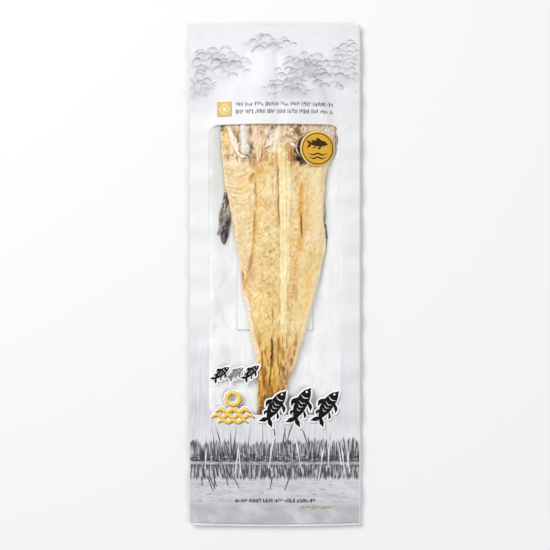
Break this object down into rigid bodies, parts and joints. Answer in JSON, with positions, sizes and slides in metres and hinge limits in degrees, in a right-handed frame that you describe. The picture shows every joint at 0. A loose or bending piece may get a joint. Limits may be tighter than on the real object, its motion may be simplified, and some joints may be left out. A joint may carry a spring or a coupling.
{
  "type": "packed dried pollock",
  "caption": "Flat sealed pouch with a clear window over a split and dried pollock, lying on its back with sealed edges all round.",
  "frame": {"origin": "centre of the pack's footprint, on the table", "axes": "+X to the pack's right and +Y to its top, both seen from its front, and +Z out of its front, away from the table"},
  "size_m": [0.2, 0.588, 0.0215],
  "materials": {
    "pack_film": "thin clear film, glossy, softly wrinkled along the seals",
    "pack_print": "pale grey ink wash printed under the film, satin",
    "print_ink": "black and grey printed marks",
    "print_gold": "printed gold yellow",
    "pack_back": "plain white back film, satin",
    "sachet": "white sachet paper",
    "dried_flesh": "dry pale golden fish flesh, fibrous and matt",
    "dried_skin": "dark grey-brown dried fin and skin",
    "dried_bone": "pale dried bone and membrane, slightly glossy"
  },
  "bodies": {
    "root": {"sealed_pack": "pack_film"}
  },
  "joints": []
}
